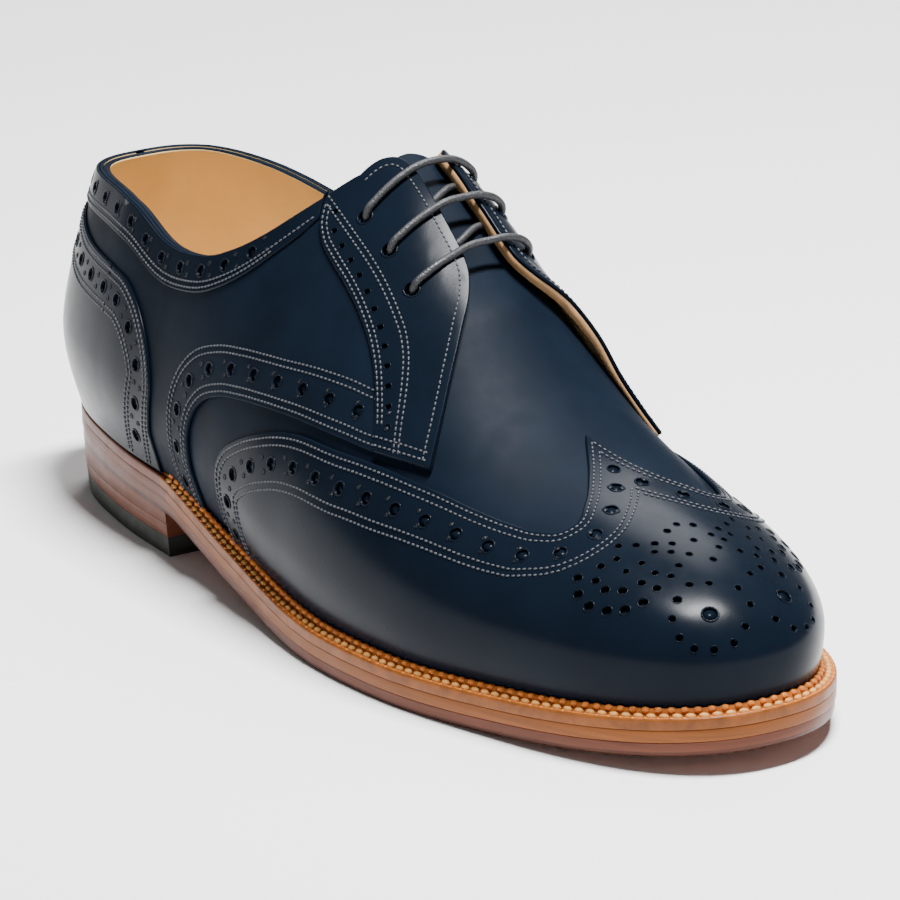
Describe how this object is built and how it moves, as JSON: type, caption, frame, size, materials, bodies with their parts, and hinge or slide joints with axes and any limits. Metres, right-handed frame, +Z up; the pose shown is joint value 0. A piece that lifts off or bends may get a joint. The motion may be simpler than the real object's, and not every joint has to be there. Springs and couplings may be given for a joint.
{
  "type": "full brogue derby shoe",
  "caption": "Right-foot full brogue derby with a wing cap, laced facings, stitched welt, leather sole and stacked heel, standing empty",
  "frame": {"origin": "middle of the bounding box, on the floor under the sole", "axes": "+X to the toe, +Y to the inner (medial) side of the foot, +Z up"},
  "size_m": [0.3054, 0.1018, 0.121],
  "materials": {
    "outsole_leather": "burnished",
    "welt_leather": "natural",
    "heel_rubber": "matte",
    "insole_leather": "smooth",
    "upper_leather": "polished",
    "lace_cotton": "waxed"
  },
  "bodies": {
    "root": {"outsole": "outsole_leather", "midsole": "outsole_leather", "welt": "welt_leather", "heel_lift_1": "outsole_leather", "heel_lift_2": "outsole_leather", "heel_top_piece": "heel_rubber", "insole": "insole_leather", "upper": "upper_leather", "tongue": "upper_leather", "wing_cap": "upper_leather", "heel_counter": "upper_leather", "quarter_lateral": "upper_leather", "quarter_medial": "upper_leather", "facing_lateral": "upper_leather", "facing_medial": "upper_leather", "lace_bar_top": "lace_cotton", "lace_bar_middle": "lace_cotton", "lace_bar_bottom": "lace_cotton"}
  },
  "joints": []
}
